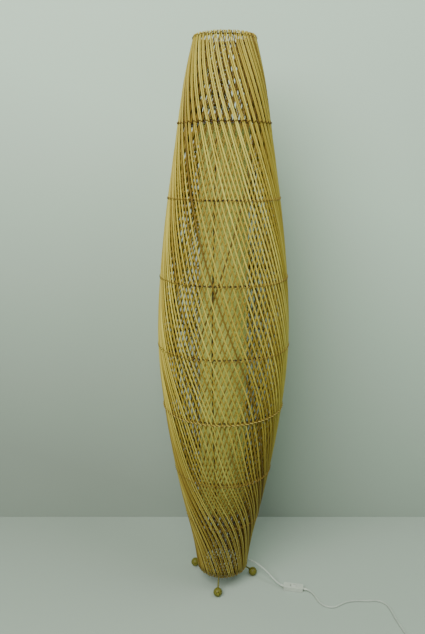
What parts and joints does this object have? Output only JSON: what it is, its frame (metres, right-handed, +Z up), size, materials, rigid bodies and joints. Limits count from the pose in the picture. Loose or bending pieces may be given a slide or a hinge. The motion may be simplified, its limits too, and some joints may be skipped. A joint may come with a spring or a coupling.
{
  "type": "floor lamp",
  "caption": "Tall cigar-shaped reed floor lamp: two crossing layers of cane tied over hoops round a pale sleeve, on short legs with ball feet, with a corded rocker switch.",
  "frame": {"origin": "on the lamp's vertical axis, on the floor under the ball feet", "axes": "+Z up along the lamp's axis, -Y towards the front, +X to the right, the side that the cord leaves by"},
  "size_m": [0.6634, 0.5465, 1.4897],
  "materials": {
    "reed": "satin",
    "twine": "matte",
    "dark_wire": "satin",
    "bare_wire": "satin",
    "olive_metal": "satin",
    "olive_wood": "satin",
    "sleeve": "matte",
    "plated_steel": "satin",
    "white_plastic": "satin",
    "rocker": "gloss",
    "holder_plastic": "satin",
    "brass": "satin",
    "nickel": "polished",
    "bulb_glass": "satin",
    "cord": "satin"
  },
  "bodies": {
    "lamp": {"outer_reeds": "reed", "inner_reeds": "reed", "rim_hoop": "dark_wire", "row_one_hoop": "dark_wire", "row_two_hoop": "dark_wire", "row_three_hoop": "dark_wire", "row_four_hoop": "dark_wire", "row_five_hoop": "dark_wire", "row_six_hoop": "dark_wire", "row_seven_hoop": "dark_wire", "hem_hoop": "dark_wire", "twined_ties": "twine", "front_rib": "dark_wire", "front_leg": "olive_metal", "front_foot": "olive_wood", "left_rib": "dark_wire", "left_leg": "olive_metal", "left_foot": "olive_wood", "right_rib": "dark_wire", "right_leg": "olive_metal", "right_foot": "olive_wood", "sleeve": "sleeve", "upper_sleeve_ring": "bare_wire", "lower_sleeve_ring": "bare_wire", "sleeve_spokes": "bare_wire", "spider_hub": "plated_steel", "spider_arms": "plated_steel", "conduit": "plated_steel", "conduit_nuts": "plated_steel", "holder_bracket": "plated_steel", "bracket_nipple": "plated_steel", "cord_grip": "white_plastic", "strain_relief": "white_plastic", "internal_leads": "white_plastic", "switch_base": "white_plastic", "switch_cover": "white_plastic", "plug_body": "white_plastic", "plug_boot": "white_plastic", "upper_holder_cap": "holder_plastic", "upper_holder_shell": "holder_plastic", "upper_holder_seat": "holder_plastic", "lower_holder_cap": "holder_plastic", "lower_holder_shell": "holder_plastic", "lower_holder_seat": "holder_plastic", "upper_holder_liner": "brass", "lower_holder_liner": "brass", "switch_contacts": "brass", "plug_pins": "nickel", "switch_pivot": "nickel", "switch_screws": "nickel", "cord_lamp_to_switch": "cord", "cord_switch_to_coil": "cord", "cord_coil": "cord", "cord_coil_to_plug": "cord"},
    "upper_bulb": {"upper_bulb_cap": "nickel", "upper_bulb_glass": "bulb_glass"},
    "lower_bulb": {"lower_bulb_cap": "nickel", "lower_bulb_glass": "bulb_glass"},
    "rocker": {"switch_rocker": "rocker"}
  },
  "joints": [
    {"name": "rocker_press", "type": "hinge", "parent": "lamp", "child": "rocker", "pos_m": [0.2053, -0.0586, 0.01], "axis": [0.1908, 0.9816, 0], "range_deg": [-14, 0]},
    {"name": "upper_bulb_lift", "type": "slide", "parent": "lamp", "child": "upper_bulb", "axis": [0, 0, 1], "range_m": [0, 0.06]},
    {"name": "lower_bulb_lift", "type": "slide", "parent": "lamp", "child": "lower_bulb", "axis": [0, 0, 1], "range_m": [0, 0.06]}
  ]
}
